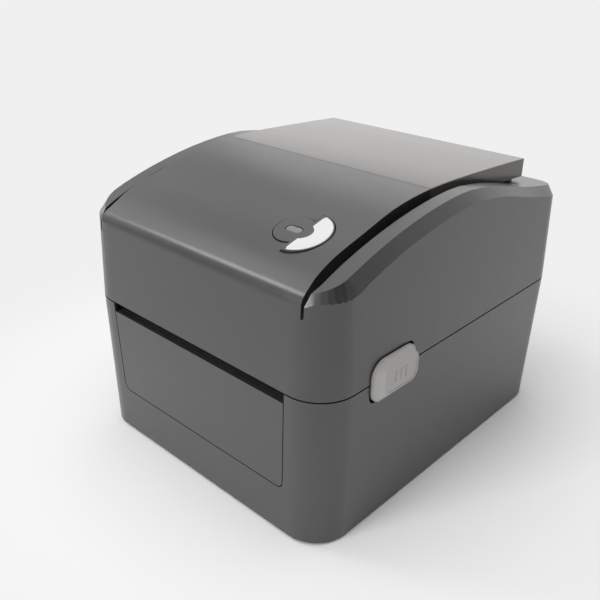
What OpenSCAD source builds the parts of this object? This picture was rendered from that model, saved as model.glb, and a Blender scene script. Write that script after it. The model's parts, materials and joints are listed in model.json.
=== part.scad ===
// Desktop thermal label printer, millimetres.
// Origin: middle of the footprint, on the table. Front is -Y, up is +Z, the user's right is +X.

/* [Body] */
// Width of the body at the parting line
body_w = 178; // [170:1:190]
// Depth of the body at the parting line
body_d = 215; // [212:1:230]
// Height of the parting line above the table
part_z = 84.5; // [84.5:0.5:92]
// Rise of the cover from the parting line to its highest point
cover_h = 75.6; // [73:0.2:84]
// Wall thickness of the moulded shells
wall = 2.5; // [2:0.1:3]
// Radius of the upright front corners
front_r = 21; // [18:0.5:24]
// Radius of the upright rear corners
rear_r = 19; // [17:0.5:22]
// Draft of the lower walls, in degrees
lower_draft = 1.2; // [0.5:0.1:1.6]
// Draft of the upper walls, in degrees
upper_draft = 2; // [1:0.1:2.4]
// Gap that shows as the parting line
part_gap = 0.8; // [0.4:0.1:1]

/* [Feet] */
// How far the rubber feet stand out below the base
foot_out = 1.5; // [1:0.1:3]
// Radius of one foot
foot_r = 8; // [6:0.5:9]
// Distance of a foot's centre from the side and end faces
foot_in = 24; // [22:0.5:30]

/* [Lid] */
// Width of the raised middle of the lid
lid_w = 143; // [140:0.5:146]
// Width of the groove between the lid and each rail
groove_w = 4; // [3:0.25:5]
// Depth of the groove below the lid
groove_depth = 12; // [12:0.5:14]
// How far the edge chamfer cuts in from the side wall
chamfer_in = 3.5; // [2.5:0.1:4]
// Radius along the front top edge of the lid
brow_r = 9; // [6:0.5:10]

/* [Window] */
// Length of the window
window_l = 95; // [90:1:98]
// Distance of the window's rear end from the rear face
window_back = 25.5; // [24:0.5:30]
// Height of the window's skirt
skirt_h = 10.6; // [9:0.1:11]
// Thickness of the window
window_t = 2; // [1.6:0.1:2.4]
// Width of the rim under the window's skirt
rim_w = 2.5; // [2:0.1:3]

/* [Front panel] */
// Width of the front panel along its top edge
panel_w = 130; // [124:1:134]
// Distance of the front panel's top edge below the parting line
panel_drop = 5.5; // [5.3:0.1:6.5]
// Height of the front panel's lower edge above the table
panel_low = 28.7; // [26:0.1:34]
// How much narrower each side of the panel is at its lower edge
panel_taper = 1.5; // [0:0.1:2]
// Radius of the panel's lower corners
panel_r = 4; // [3:0.5:5]
// Gap round the panel
panel_gap = 0.5; // [0.3:0.1:0.7]

/* [Release buttons] */
// Distance of the release buttons' middle from the front face
button_in = 49.5; // [47:0.5:53]
// Length of a button's flange
button_l = 33; // [31:0.5:34]
// Height of a button's flange
button_h = 22; // [20:0.5:22.5]
// How far a button stands out of the wall
button_out = 4; // [3.5:0.1:4.5]
// Travel of a button
button_travel = 3; // [2.5:0.1:3]

/* [Feed key] */
// Distance of the key's centre from the right edge of the lid
key_side = 26; // [24:0.5:30]
// Distance of the key's centre from the front face
key_in = 32.2; // [30.5:0.5:34.5]
// Radius of the key's half disc
key_r = 15; // [14:0.25:15]
// Radius of the round lobe that surrounds the status light
lobe_r = 10; // [9.5:0.25:10.5]
// Distance of the status light from the key's straight edge
lobe_off = 5; // [4.5:0.25:6]
// Travel of the key
key_travel = 0.8; // [0.6:0.1:1]

/* [Hinge] */
// Radius of the hinge knuckles
knuckle_r = 4.1; // [3.8:0.1:4.2]
// Radius of the hinge pins
hinge_pin_r = 1.6; // [1.4:0.1:1.8]
// Distance of each hinge tower from the middle
hinge_x = 66; // [65:0.5:68]
// Width of a hinge tower
tower_w = 8; // [7:0.5:9]

/* [Print mechanism] */
// Distance of the platen roller's axis from the front face
platen_in = 19.5; // [18.5:0.5:21.5]
// Radius of the platen roller
platen_r = 8; // [7.5:0.1:8.2]
// Length of the platen roller
platen_l = 116; // [110:1:118]
// Radius of the platen shaft
shaft_r = 3; // [2.5:0.1:3.2]
// Height of the label path below the parting line
path_drop = 2; // [1.8:0.1:2.4]
// Tooth size of the gears
gear_m = 1; // [0.95:0.05:1]
// Face width of the gears
gear_face = 5; // [4:0.5:6]
// Width of the drive motor's square body
motor_w = 42; // [39:1:42]
// Length of the drive motor's body
motor_l = 33; // [26:1:40]

/* [Roll bay] */
// Room behind the trough for the hinge and the rear slot
bay_back = 25.3; // [25:0.5:30]
// Thickness of the trough's shell
trough_t = 2.2; // [1.8:0.1:2.4]
// Inner width of the trough
bay_w = 124; // [120:1:126]
// Radius of the holders' hubs
hub_r = 12; // [10:0.5:12.5]
// Distance between the two holders when they are closed
holder_gap = 26; // [24:1:34]
// Travel of each holder
holder_travel = 40; // [30:1:40]

/* [Hidden] */

eps = 0.01;
round_fn = 48;
seat = 0.3;
run = 0.05;
draft_low = tan(lower_draft);
draft_up = tan(upper_draft);
base_top = part_z - part_gap / 2;
cover_low = part_z + part_gap / 2;
cover_top = part_z + cover_h;
half_w = body_w / 2;
half_d = body_d / 2;
panel_top = part_z - panel_drop;
window_rear = half_d - window_back;
window_front = window_rear - window_l;
button_y = -half_d + button_in;
key_y = -half_d + key_in;
platen_y = -half_d + platen_in;

// ---- Sculpted lines of the cover: [share of the half depth, share of the cover's rise] ----
lid_curve = [[-1.02, 0.6], [-0.82, 0.774], [-0.6, 0.873], [-0.35, 0.966], [-0.05, 1], [0.47, 0.979],
    [0.78, 0.957]];
rail_curve = [[-0.99, 0.64], [-0.763, 0.774], [-0.53, 0.872], [-0.27, 0.944], [0, 0.975],
    [0.186, 0.95], [0.372, 0.9], [0.577, 0.829], [0.726, 0.79], [1, 0.727]];
crease_curve = [[-0.99, 0.573], [-0.949, 0.625], [-0.81, 0.64], [-0.66, 0.713], [-0.474, 0.791],
    [-0.186, 0.865], [0.05, 0.891], [0.326, 0.849], [0.53, 0.78], [0.7, 0.725], [1, 0.64]];

function segment(p, x, i = 0) = i >= len(p) - 2 || x < p[i + 1][0] ? i : segment(p, x, i + 1);
function slope(p, a, b) = (p[b][1] - p[a][1]) / (p[b][0] - p[a][0]);
function tangent(p, i) = slope(p, max(i - 1, 0), min(i + 1, len(p) - 1));
function spline(p, x) =
    let (i = segment(p, x), h = p[i + 1][0] - p[i][0], t = (x - p[i][0]) / h)
    (2 * t ^ 3 - 3 * t ^ 2 + 1) * p[i][1] + (t ^ 3 - 2 * t ^ 2 + t) * h * tangent(p, i)
    + (3 * t ^ 2 - 2 * t ^ 3) * p[i + 1][1] + (t ^ 3 - t ^ 2) * h * tangent(p, i + 1);
function on_cover(curve, y) = part_z + cover_h * spline(curve, y / half_d);
function lid(y) = on_cover(lid_curve, y);
function rail(y) = on_cover(rail_curve, y);
function crease(y) = on_cover(crease_curve, y);
function steps(a, b, n) = [for (i = [0:n]) a + (b - a) * i / n];

// ---- Rounded plan of the body and its drafted blocks ----
// Outline of the plan as points, counter-clockwise from the front left
plan_steps = 10;
function plan_ring(inset, z) = [for (c = [[-1, -1, 180, front_r], [1, -1, 270, front_r], [1, 1, 0, rear_r],
    [-1, 1, 90, rear_r]])
    for (a = steps(c[2], c[2] + 90, plan_steps))
        [c[0] * (half_w - c[3]) + (c[3] - inset) * cos(a), c[1] * (half_d - c[3]) + (c[3] - inset) * sin(a),
            z]];

// Block whose rounded plan shrinks evenly from one inset to another
module drafted_block(z0, z1, inset0, inset1) {
    n = 4 * (plan_steps + 1);
    sides = [for (i = [0:n - 1]) [i, (i + 1) % n, n + (i + 1) % n, n + i]];
    caps = [[for (i = [n - 1:-1:0]) i], [for (i = [0:n - 1]) n + i]];
    polyhedron(concat(plan_ring(inset0, z0), plan_ring(inset1, z1)),
        [for (f = concat(sides, caps)) [for (i = [len(f) - 1:-1:0]) f[i]]], convexity = 4);
}

module lower_block(z0, z1, inset) {
    drafted_block(z0, z1, inset + (part_z - z0) * draft_low, inset + (part_z - z1) * draft_low);
}

module upper_block(z0, z1, inset) {
    drafted_block(z0, z1, inset + (z0 - part_z) * draft_up, inset + (z1 - part_z) * draft_up);
}

// Extrudes a profile drawn in Y and Z along X, between x0 and x1
module across(x0, x1) {
    translate([x0, 0, 0]) rotate([90, 0, 90]) linear_extrude(height = x1 - x0) children();
}

module box(x0, x1, y0, y1, z0, z1) {
    translate([x0, y0, z0]) cube([x1 - x0, y1 - y0, z1 - z0]);
}

// A round bar along X between x0 and x1
module bar_x(x0, x1, y, z, r) {
    translate([x0, y, z]) rotate([0, 90, 0]) cylinder(h = x1 - x0, r = r, $fn = round_fn);
}

module both_sides() {
    children();
    mirror([1, 0, 0]) children();
}

// ---- Places worked out from the sizes above ----
function lower_wall_x(z) = half_w - (part_z - z) * draft_low;
function lower_wall_y(z) = half_d - (part_z - z) * draft_low;
function upper_wall_x(z) = half_w - (z - part_z) * draft_up;
function upper_wall_y(z) = half_d - (z - part_z) * draft_up;
base_low = foot_out;
floor_top = base_low + wall;
lid_x = lid_w / 2;
key_x = lid_x - key_side;
rail_x = lid_x + groove_w;
label_z = part_z - path_drop;
platen_z = label_z - platen_r;
panel_x = panel_w / 2;
hinge_y = half_d - knuckle_r - 0.3;
hinge_z = base_top + knuckle_r + 0.35;
pin_len = tower_w + 9;
deck_z = label_z - 1.2;
deck_t = 2.2;
tray_x = half_w - 8;
tray_front = platen_y + 28;
tray_rear = half_d - 14;

// Gear train: the platen's gear, the idler in front of the motor and the motor's pinion
platen_teeth = 24;
idler_teeth = 30;
motor_teeth = 14;
idler_dir = -42;
motor_dir = -20;
idler_y = platen_y + cos(idler_dir) * (platen_teeth + idler_teeth) * gear_m / 2;
idler_z = platen_z + sin(idler_dir) * (platen_teeth + idler_teeth) * gear_m / 2;
motor_y = idler_y + cos(motor_dir) * (idler_teeth + motor_teeth) * gear_m / 2;
motor_z = idler_z + sin(motor_dir) * (idler_teeth + motor_teeth) * gear_m / 2;
motor_rear = motor_y + motor_w / 2;

// Side plates outside the platen, from the paper exit back to the motor's rear face
plate_x = platen_l / 2 + 8;
plate_t = 1.5;
plate_front = platen_y - 10;
plate_rear = motor_rear;
plate_cut = 6;
head_x = platen_l / 2 + 1;

// Main board on its stand-offs
board_z = floor_top + 6;
board_t = 1.6;
board_part_h = 8;
board_high = board_z + board_t + board_part_h;

// The trough is the largest circle between the motor, the rear room and the board
bay_z = part_z + 1.5;
bay_x = bay_w / 2;
bay_end = half_d - bay_back;
rack_drop = 7;
bay_y = (bay_end + motor_rear) / 2;
bay_r = min((bay_end - motor_rear) / 2, bay_z - board_high - rack_drop - 1.5) - trough_t;

// ================= Base =================

// Rounded opening shared by the panel and its cut-out: square top, round lower corners
module panel_outline(grow, top) {
    r = panel_r + grow;
    low = panel_low - grow;
    side = atan(panel_taper / (panel_top - panel_low));
    cx = panel_x - panel_taper + grow - r * (1 - sin(side)) / cos(side);
    right = [for (a = steps(-90, -side, 6)) [cx + r * cos(a), low + r + r * sin(a)]];
    left = [for (i = [len(right) - 1:-1:0]) [-right[i][0], right[i][1]]];
    x1 = panel_x + grow;
    polygon(concat(right, [[x1, panel_top], [x1, top], [-x1, top], [-x1, panel_top]], left));
}

module through_front(y0, y1) {
    translate([0, y1, 0]) rotate([90, 0, 0]) linear_extrude(height = y1 - y0) children();
}

// The flange has soft corners; the opening is tighter at the front bottom and rear top
module button_outline(grow, r_soft, r_tight) {
    l = button_l / 2 + grow;
    h = button_h / 2 + grow;
    polygon([[-l + r_tight, -h], [l - r_soft, -h], [l, -h + r_soft], [l, h - r_tight],
        [l - r_tight, h], [-l + r_soft, h], [-l, h - r_soft], [-l, -h + r_tight]]);
    translate([-l + r_tight, -h + r_tight]) circle(r = r_tight, $fn = round_fn);
    translate([l - r_soft, -h + r_soft]) circle(r = r_soft, $fn = round_fn);
    translate([l - r_tight, h - r_tight]) circle(r = r_tight, $fn = round_fn);
    translate([-l + r_soft, h - r_soft]) circle(r = r_soft, $fn = round_fn);
}

module button_prism(x0, x1, grow, r_soft, r_tight) {
    translate([0, button_y, part_z]) across(x0, x1) button_outline(grow, r_soft, r_tight);
}

button_gap = 0.4;
flange_soft = 8.5;
flange_tight = 6.5;
opening_tight = 4.5;
module button_openings() {
    both_sides() button_prism(half_w - 12, half_w + 5, button_gap, flange_soft, opening_tight);
}

slot_half = hinge_x - tower_w / 2 - 4;
slot_z0 = base_top - 9;
slot_z1 = base_top - 3;
jack_x = 50;
usb_x = 24;
switch_x = -50;
port_z = 22;
jack_w = 12;
jack_h = 13;
usb_w = 13;
usb_h = 12;
switch_w = 20;
switch_h = 14;
port_gap = 0.3;
screw_r = 1.5;
screw_len = 14;
foot_x = half_w - foot_in;
foot_y = half_d - foot_in;
foot_h = 3;
boss_out = 0.8;
boss_x = (bay_x + trough_t + tray_x) / 2 + boss_out;
boss_r = 4.5;
boss_front = plate_rear + boss_r + 1;
boss_rear = half_d - 34;
pad_h = 1.5;
lip_x = tray_x + 2.6;
lip_t = 1.6;
lip_front = -20;
lip_rear = half_d - 30;
lip_drop = 10;
lip_rise = 1.5;
rib_t = 1.5;
tongue_w = 12;
vent_w = 2.4;
vent_l = 24;
vent_pitch = 7;
tower_drop = 30;
port_cut = 8;

module screw_places() {
    for (sx = [-1, 1], y = [boss_front, boss_rear]) translate([sx * boss_x, y, 0]) children();
}

module foot_places() {
    for (sx = [-1, 1], sy = [-1, 1]) translate([sx * foot_x, sy * foot_y, 0]) children();
}

module lower_housing() {
    color("#4a4c4b") difference() {
        union() {
            difference() {
                lower_block(base_low, base_top, 0);
                lower_block(floor_top, base_top + 1, wall);
            }
            // lip that locates the cover, behind the parting line at the sides
            both_sides() {
                box(lip_x, lip_x + lip_t, lip_front, lip_rear, base_top - lip_drop, base_top + lip_rise);
                for (y = steps(lip_front + 8, lip_rear - 25, 2))
                    box(lip_x + lip_t / 2, half_w - wall + 0.5, y, y + rib_t, base_top - lip_drop,
                        base_top - 1);
            }
            // screw bosses and pads above the feet
            screw_places() translate([0, 0, floor_top - eps])
                cylinder(h = deck_z - deck_t - seat - floor_top, r = boss_r, $fn = round_fn);
            foot_places() translate([0, 0, floor_top - eps])
                cylinder(h = pad_h, r = foot_r + 1.5, $fn = round_fn);
            // hinge towers
            for (s = [-1, 1]) hinge_tower(s * hinge_x);
            // stand-offs of the main board
            for (x = [-1, 1], y = [-1, 1]) translate([x * board_hole_x, board_y + y * board_hole_y,
                floor_top - eps])
                cylinder(h = board_z - floor_top, r = 3, $fn = round_fn);
            // motor shelf ribs
            for (x = [6, motor_l - 7]) box(x - plate_x, x - plate_x + rib_t, motor_rear - motor_w + 2,
                motor_rear - 2,
                floor_top - eps, motor_z - motor_w / 2 - seat);
        }
        through_front(-half_d - 2, -half_d + 12) panel_outline(panel_gap, part_z + 2);
        button_openings();
        screw_places() translate([0, 0, deck_z - screw_len])
            cylinder(h = screw_len, r = screw_r, $fn = round_fn);
        foot_places() translate([0, 0, base_low - 1])
            cylinder(h = 1 + foot_h - foot_out, r = foot_r + run, $fn = round_fn);
        // rear paper slot and ports
        box(-slot_half, slot_half, half_d - port_cut, half_d + 2, slot_z0, slot_z1);
        rear_cut(jack_x, jack_w, jack_h);
        rear_cut(usb_x, usb_w, usb_h);
        rear_cut(switch_x, switch_w, switch_h);
        // ventilation slits in the floor
        for (i = [-6:6], y = [board_y - 10, motor_rear - 4]) translate([i * vent_pitch, y, base_low - 1])
            vent_slit();
    }
}

module vent_slit() {
    box(-vent_w / 2, vent_w / 2, -vent_l / 2, vent_l / 2, 0, wall + 2);
}

module rear_cut(x, w, h) {
    box(x - w / 2 - port_gap, x + w / 2 + port_gap, half_d - port_cut, half_d + 2,
        port_z - h / 2 - port_gap, port_z + h / 2 + port_gap);
}

module hinge_tower(x) {
    difference() {
        union() {
            box(x - tower_w / 2, x + tower_w / 2, hinge_y - knuckle_r, half_d - wall + 0.5,
                base_top - tower_drop, hinge_z);
            bar_x(x - tower_w / 2, x + tower_w / 2, hinge_y, hinge_z, knuckle_r);
        }
        bar_x(x - tower_w, x + tower_w, hinge_y, hinge_z, hinge_pin_r);
    }
}

module hinge_pins() {
    color("silver") for (s = [-1, 1])
        bar_x(s * hinge_x - pin_len / 2, s * hinge_x + pin_len / 2, hinge_y, hinge_z, hinge_pin_r - eps);
}

module front_panel() {
    y_back = -lower_wall_y(panel_low) + wall;
    color("#4a4c4b") {
        intersection() {
            lower_block(base_low, base_top, 0);
            through_front(-half_d - 2, y_back) panel_outline(0, panel_top);
        }
        // snap tongues behind the lower edge and stiffening ribs
        for (x = steps(20 - panel_x, panel_x - 20, 2))
            box(x - tongue_w / 2, x + tongue_w / 2, y_back - eps, y_back + 2, panel_low + 6, panel_low + 8);
        for (x = steps(15 - panel_x, panel_x - 15, 5))
            box(x - rib_t / 2, x + rib_t / 2, y_back - eps, y_back + 2.5, panel_low + 10, guide_low - 1);
    }
}

module rubber_feet() {
    color("#1e1e1e") foot_places() {
        cylinder(h = foot_h - 0.2, r = foot_r, $fn = round_fn);
    }
}

module housing_screws() {
    color("silver") screw_places() {
        translate([0, 0, deck_z + run]) cylinder(h = 2, r = screw_r * 2, $fn = round_fn);
        translate([0, 0, deck_z - screw_len + 1]) cylinder(h = screw_len, r = screw_r - eps, $fn = round_fn);
    }
}

// ---- Media tray: deck with the roll trough ----
holder_slot = 14;
sill_x = slot_half + 2;
sill_z = slot_z0 - 0.4;
rack_z = bay_z - bay_r - trough_t - rack_drop;
rack_h = 4;

module trough_profile(r, top) {
    intersection() {
        translate([bay_y, bay_z]) circle(r = r, $fn = 96);
        translate([bay_y - r - 1, bay_z - r - 1]) square([2 * r + 2, top - bay_z + r + 1]);
    }
}

module media_tray() {
    color("#2c2d2e") difference() {
        union() {
            // deck
            difference() {
                box(-tray_x, tray_x, tray_front, tray_rear, deck_z - deck_t, deck_z);
                box(-bay_x - trough_t, bay_x + trough_t, bay_y - bay_r + 2, bay_y + bay_r - 2,
                    deck_z - deck_t - 1, deck_z + 1);
            }
            // trough shell and end walls
            across(-bay_x - trough_t, bay_x + trough_t) difference() {
                trough_profile(bay_r + trough_t, deck_z);
                trough_profile(bay_r, deck_z + 5);
            }
            for (x = [-bay_x - trough_t, bay_x]) across(x, x + trough_t)
                trough_profile(bay_r + trough_t, deck_z);
            // rails under the trough that guide the racks
            for (y = [-1, 1]) box(-bay_x, bay_x, bay_y + y * guide_off - 1.2, bay_y + y * guide_off + 1.2,
                rack_z, bay_z - sqrt(bay_r ^ 2 - (guide_off + 1.2) ^ 2) - 0.5);
            // sill that leads fan-fold stock in from the rear slot
            box(-sill_x, sill_x, bay_y + bay_r - 4, half_d - 5, sill_z - 2, sill_z);
            translate([0, bay_y, rack_z + rack_h + seat]) cylinder(h = 4, r = 5, $fn = round_fn);
            // walls that the release springs push against
            both_sides() box(spring_x0 - 2, spring_x0, tray_front, button_y + 4, deck_z - deck_t,
                spring_z + 3.8);
            // guide ribs on the front deck
            for (x = [-1, 1]) box(x * head_x - 1, x * head_x + 1, button_y + 8, bay_y - bay_r - 6,
                deck_z - eps, deck_z + 2);
        }
        // slots that the holders slide in
        for (s = [-1, 1]) box(s > 0 ? holder_gap / 2 - 2 : -bay_x - 1,
            s > 0 ? bay_x + 1 : -holder_gap / 2 + 2,
            bay_y - holder_slot / 2, bay_y + holder_slot / 2, rack_z - 1, bay_z - bay_r + 1.5);
        translate([0, bay_y, rack_z - 1]) cylinder(h = rack_h + 30, r = 2, $fn = round_fn);
        screw_places() translate([0, 0, deck_z - 10]) cylinder(h = 20, r = screw_r + run, $fn = round_fn);
        box(-sill_x + 2, sill_x - 2, bay_y + bay_r - 12, half_d, sill_z, deck_z + 1);
        // latch and hinge clearances
        for (s = [-1, 1]) box(s * hinge_x - tower_w / 2 - 2, s * hinge_x + tower_w / 2 + 2, hinge_y - 8,
            half_d, deck_z - 5, deck_z + 1);
        both_sides() box(spring_x0, tray_x + 1, button_y - 13, button_y + 13, deck_z - 5, deck_z + 1);
    }
}

// ---- Roll holders on a rack and pinion ----
pinion_teeth = 18;
rack_off = pinion_teeth * gear_m / 2;
guide_off = rack_off + 6.6;
tooth_thin = 0.16;
rack_pitch = PI * gear_m;
arm_t = 3.5;
holder_x = holder_gap / 2;
hub_z = bay_z - 3;
hub_l = 8;
hub_wall = 2.5;
hub_collar = 5;

module holder(rib) {
    // arm, hub and foot; inner face at x = holder_x, hub points to the middle
    arm_w = holder_slot - 1;
    across(holder_x, holder_x + arm_t) {
        translate([bay_y - arm_w / 2, rack_z + rack_h]) square([arm_w, bay_z - rack_z - rack_h]);
        translate([bay_y, hub_z]) circle(r = hub_r + hub_collar, $fn = round_fn);
    }
    bar_x(holder_x - hub_l, holder_x + eps, bay_y, hub_z, hub_r);
    translate([holder_x + arm_t - eps, 0, 0]) across(0, rib)
        translate([bay_y - 1, rack_z + rack_h + 8]) square([2, bay_z - rack_z - 20]);
}

module hollow_holder() {
    difference() {
        holder(3);
        bar_x(holder_x - hub_l - 1, holder_x + 1.5, bay_y, hub_z, hub_r - hub_wall);
    }
}

module holder_right() {
    color("#3a3b3c") hollow_holder();
}

module holder_left() {
    color("#3a3b3c") mirror([1, 0, 0]) hollow_holder();
}

function rack_tooth(x) = let (a = rack_pitch / 4 - tooth_thin, s = 0.36 * gear_m)
    [[x - a - s, -1.1 * gear_m], [x - a + s * 0.9, 0.9 * gear_m], [x + a - s * 0.9, 0.9 * gear_m],
        [x + a + s, -1.1 * gear_m]];

// Rack along X, teeth towards -Y from the pitch line at y = 0, tooth centred at x = phase
module rack_bar(x0, x1, phase) {
    n0 = ceil((x0 + 2 - phase) / rack_pitch);
    n1 = floor((x1 - 2 - phase) / rack_pitch);
    linear_extrude(height = rack_h) mirror([0, 1]) {
        for (n = [n0:n1]) polygon(rack_tooth(phase + n * rack_pitch));
        translate([x0, -1.1 * gear_m - 4]) square([x1 - x0, 4.01]);
    }
}

rack_reach = 15;
// Rack behind the pinion, joined to the right holder's foot
module rack() {
    translate([0, bay_y + rack_off, rack_z])
        rack_bar(holder_x - holder_travel - rack_reach, holder_x + arm_t, rack_pitch / 2);
    box(holder_x, holder_x + arm_t, bay_y - holder_slot / 2 + 1, bay_y + rack_off + 2,
        rack_z, rack_z + rack_h);
}

module rack_right() {
    color("#d8d8d4") rack();
}

module rack_left() {
    color("#d8d8d4") rotate([0, 0, 180]) translate([0, -2 * bay_y, 0]) rack();
}

// ---- Gears ----
function tooth(n, a) = let (r = n * gear_m / 2, h = (PI * gear_m / 2 - 2 * tooth_thin) / (2 * r) * 180 / PI)
    [for (q = [[r - 1.15 * gear_m, -h * 1.55], [r, -h], [r + 0.9 * gear_m, -h * 0.42],
        [r + 0.9 * gear_m, h * 0.42], [r, h], [r - 1.15 * gear_m, h * 1.55]])
        [q[0] * cos(a + q[1]), q[0] * sin(a + q[1])]];

module gear_2d(n, phase, bore) {
    difference() {
        union() {
            circle(r = n * gear_m / 2 - 1.1 * gear_m, $fn = 96);
            for (i = [0:n - 1]) polygon(tooth(n, phase + i * 360 / n));
        }
        circle(r = bore, $fn = round_fn);
    }
}

function mesh_phase(phase_a, n_a, n_b, phi) = phi + 180 - (phase_a - phi) * n_a / n_b + 180 / n_b;

module rack_pinion() {
    // pitch circle touches both racks; teeth meet the racks' gaps on +Y and -Y
    color("#e6e4dc") translate([0, bay_y, rack_z]) difference() {
        linear_extrude(height = rack_h) gear_2d(pinion_teeth, 90, axle_r + run);
    }
}

module pinion_axle() {
    color("silver") translate([0, bay_y, rack_z - 1]) {
        cylinder(h = rack_h + 5, r = axle_r - eps, $fn = round_fn);
        cylinder(h = 0.9, r = axle_r + 1.6, $fn = round_fn);
    }
}

idler_phase = mesh_phase(0, platen_teeth, idler_teeth, idler_dir);
motor_phase = mesh_phase(idler_phase, idler_teeth, motor_teeth, motor_dir);
gear_x1 = -plate_x - plate_t - 1.5;
gear_x0 = gear_x1 - gear_face;
axle_r = 2;

module platen_gear() {
    color("#e6e4dc") across(gear_x0, gear_x1) translate([platen_y, platen_z])
        gear_2d(platen_teeth, 0, shaft_r + eps);
}

module idler_gear() {
    color("#e6e4dc") {
        across(gear_x0, gear_x1) translate([idler_y, idler_z])
            gear_2d(idler_teeth, idler_phase, axle_r + run);
        translate([gear_x1 - eps, idler_y, idler_z]) rotate([0, 90, 0]) difference() {
            cylinder(h = 1.2, r = 4, $fn = round_fn);
            translate([0, 0, -1]) cylinder(h = 4, r = axle_r + run, $fn = round_fn);
        }
    }
}

module idler_axle() {
    color("silver") {
        bar_x(gear_x0 - 1, -plate_x, idler_y, idler_z, axle_r);
        bar_x(gear_x0 - 1.8, gear_x0 - 1 + eps, idler_y, idler_z, axle_r + 1.2);
    }
}

module motor_pinion() {
    color("#c8a850") {
        across(gear_x0, gear_x1) translate([motor_y, motor_z]) gear_2d(motor_teeth, motor_phase, 1);
        bar_x(gear_x0 - 1, -plate_x + plate_t + 2, motor_y, motor_z, 2.5);
    }
}

motor_cut = 4;
motor_spigot_r = 11;
module drive_motor() {
    x0 = -plate_x + eps;
    c = motor_w / 2;
    k = motor_cut;
    color("#303236") difference() {
        union() {
            across(x0, x0 + motor_l) translate([motor_y, motor_z])
                polygon([[-c + k, -c], [c - k, -c], [c, -c + k], [c, c - k], [c - k, c], [-c + k, c],
                    [-c, c - k], [-c, -c + k]]);
            bar_x(-plate_x - 1, -plate_x + 1, motor_y, motor_z, motor_spigot_r);
        }
        bar_x(-plate_x - 2, -plate_x + plate_t + 2.3, motor_y, motor_z, 2.8);
    }
}

// ---- Steel side plates, platen bearings and roller ----
bearing_r = 6;
plate_low = floor_top + pad_h + seat;
plate_nose = platen_z - 24.5;
module plate_profile() {
    under_deck = deck_z - deck_t - seat;
    difference() {
        polygon([[plate_front, deck_z - plate_cut], [plate_front, plate_nose],
            [plate_front + plate_cut, plate_low],
            [plate_rear - plate_cut, plate_low], [plate_rear, plate_low + 2 * plate_cut],
                [plate_rear, under_deck],
            [tray_front - 1, under_deck], [tray_front - 1, deck_z]]);
        translate([platen_y, platen_z]) circle(r = bearing_r + run, $fn = round_fn);
        translate([platen_y - bearing_r - run, platen_z]) square([2 * bearing_r + 2 * run, 20]);
    }
}

module side_plate_left() {
    color("#b4b6b8") difference() {
        across(-plate_x - plate_t, -plate_x) plate_profile();
        bar_x(-plate_x - 3, -plate_x + 1, motor_y, motor_z, motor_spigot_r + run);
        bar_x(-plate_x - 3, -plate_x + 1, idler_y, idler_z, axle_r + eps);
    }
}

module side_plate_right() {
    color("#b4b6b8") across(plate_x, plate_x + plate_t) plate_profile();
}

module platen_bearings() {
    color("#e8e2cc") both_sides() difference() {
        union() {
            bar_x(plate_x - 1, plate_x + plate_t + 1, platen_y, platen_z, bearing_r);
            bar_x(plate_x - 2, plate_x - seat, platen_y, platen_z, bearing_r + 1.4);
        }
        bar_x(plate_x - 3, plate_x + 5, platen_y, platen_z, shaft_r + run);
    }
}

module platen_shaft() {
    color("silver") bar_x(gear_x0 - 1, plate_x + plate_t + 2, platen_y, platen_z, shaft_r);
}

module platen_roller() {
    color("#191919") difference() {
        bar_x(-platen_l / 2, platen_l / 2, platen_y, platen_z, platen_r);
        bar_x(-platen_l / 2 - 1, platen_l / 2 + 1, platen_y, platen_z, shaft_r + eps);
    }
}

// ---- Front guide, sensor rail and carriage ----
guide_x = plate_x - seat;
guide_low = panel_top - 19;
guide_y0 = -lower_wall_y(panel_low) + wall + 0.6;
guide_y1 = platen_y - platen_r - 0.8;
module paper_guide() {
    color("#161616") {
        across(-guide_x, guide_x) polygon([[guide_y0, guide_low], [guide_y0 + 2, guide_low],
            [guide_y0 + 2, panel_top - 3],
            [guide_y1, panel_top - 5], [guide_y1, panel_top - 3], [guide_y0 + 2, panel_top],
                [guide_y0, panel_top]]);
        for (x = steps(6 - guide_x, guide_x - 6, 10))
            box(x - 0.8, x + 0.8, guide_y0 + 1.9, guide_y1 - 0.6, panel_top - 9, panel_top - 4);
    }
}

rail_y0 = platen_y + platen_r + 1;
rail_y1 = tray_front - 1.3;
sensor_y = (rail_y0 + rail_y1) / 2;
sensor_travel = 30;
sensor_x = 7;
sensor_half = 5;
sensor_slit = 5;
rail_t = 2;
rail_deep = 8;
module sensor_rail() {
    color("#2c2d2e") difference() {
        union() {
            box(-guide_x, guide_x, rail_y0, rail_y1, deck_z - rail_t, deck_z);
            for (y = [rail_y0, rail_y1 - rib_t])
                box(-guide_x, guide_x, y, y + rib_t, deck_z - rail_deep, deck_z - 1);
            both_sides() box(guide_x - 2, guide_x, rail_y0, rail_y1, deck_z - rail_deep, deck_z - 1);
        }
        box(-sensor_travel - sensor_x - 5, sensor_travel + sensor_x + 5, sensor_y - sensor_slit / 2,
            sensor_y + sensor_slit / 2, deck_z - rail_deep - 1, deck_z + 1);
    }
}

module sensor_carriage() {
    color("#c0392b") {
        box(-sensor_x, sensor_x, sensor_y - sensor_half, sensor_y + sensor_half,
            deck_z - 6, deck_z - rail_t - seat);
        box(-5, 5, sensor_y - sensor_slit / 2 + 0.4, sensor_y + sensor_slit / 2 - 0.4,
            deck_z - rail_t - seat - 0.1, deck_z - 0.2);
    }
}

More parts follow.
